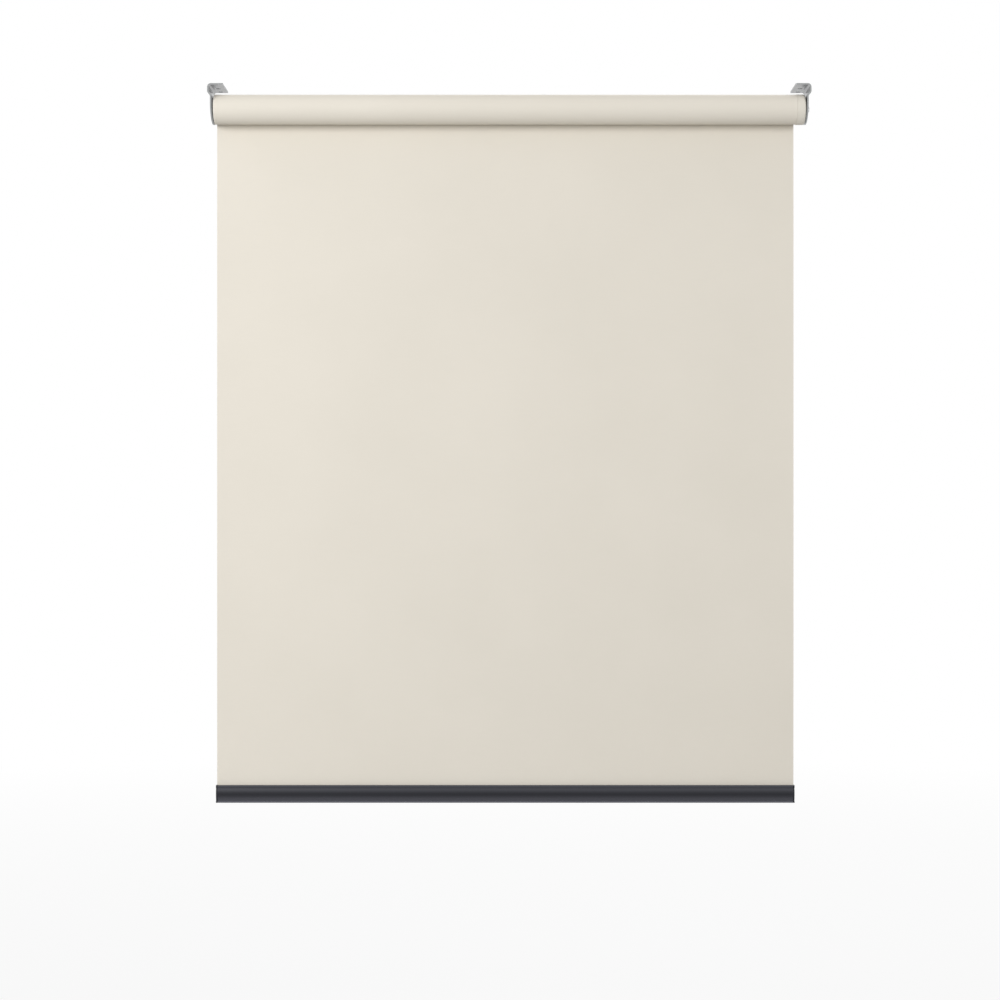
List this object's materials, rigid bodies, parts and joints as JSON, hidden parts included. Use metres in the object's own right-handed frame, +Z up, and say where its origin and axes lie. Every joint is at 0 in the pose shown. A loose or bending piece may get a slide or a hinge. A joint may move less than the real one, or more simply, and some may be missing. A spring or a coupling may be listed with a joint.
{
  "type": "blackout roller blind",
  "caption": "Cordless blackout roller blind: cream fabric on a spring roller between joggled steel brackets, with a dark bottom bar that is pulled down or lifted.",
  "frame": {"origin": "centre of the four bracket screw holes, on the plane that the flanges are fixed to", "axes": "+X along the roller towards the spring end, -Y towards the room, +Z up out of the fixing plane; the fabric hangs along -Z"},
  "size_m": [0.6, 0.04, 0.718],
  "materials": {
    "bracket_steel": "bright zinc plate on bent sheet steel",
    "tube_aluminium": "plain extruded aluminium",
    "blackout_fabric": "matt cream blackout cloth with a fine plain weave",
    "cream_plastic": "satin moulded plastic in the fabric's cream",
    "white_plastic": "satin white moulding",
    "bright_steel": "turned and plated steel",
    "spring_steel": "drawn spring wire and stamped spring clips",
    "bar_aluminium": "satin anthracite coat on an aluminium extrusion",
    "dark_plastic": "satin anthracite moulding"
  },
  "bodies": {
    "brackets": {"left_bracket": "bracket_steel", "right_bracket": "bracket_steel", "shaft": "bright_steel", "brake_drum": "bright_steel", "lift_anchor": "white_plastic", "anchor_pin": "bright_steel", "shaft_washer": "bright_steel", "shaft_clip": "spring_steel", "fabric_drop": "blackout_fabric"},
    "roller": {"roller_tube": "tube_aluminium", "tube_strip": "white_plastic", "fabric_roll": "blackout_fabric", "pin_plug": "white_plastic", "pin_spring": "spring_steel", "spring_cap": "cream_plastic", "cap_bush": "white_plastic", "brake_spring": "spring_steel", "lift_spring": "spring_steel", "lift_follower": "white_plastic"},
    "end_pin": {"pin": "bright_steel", "pin_clip": "spring_steel"},
    "bar": {"bottom_bar": "bar_aluminium", "hem_strip": "white_plastic", "left_bar_cap": "dark_plastic", "right_bar_cap": "dark_plastic"}
  },
  "joints": [
    {"name": "roller_turn", "type": "hinge", "parent": "brackets", "child": "roller", "pos_m": [0, -0.012, -0.0235], "axis": [1, 0, 0], "range_deg": [0, 2245]},
    {"name": "bar_lift", "type": "slide", "parent": "brackets", "child": "bar", "axis": [0, 0, 1], "range_m": [0, 0.64], "deforming": ["fabric_drop"]},
    {"name": "pin_push", "type": "slide", "parent": "roller", "child": "end_pin", "axis": [1, 0, 0], "range_m": [0, 0.005], "stiffness_N_per_m": 400, "springref_m": -0.01, "deforming": ["pin_spring"]}
  ],
  "couplings": [
    {"joint": "roller_turn", "follows": "bar_lift", "rad_per_m": 61.2}
  ]
}
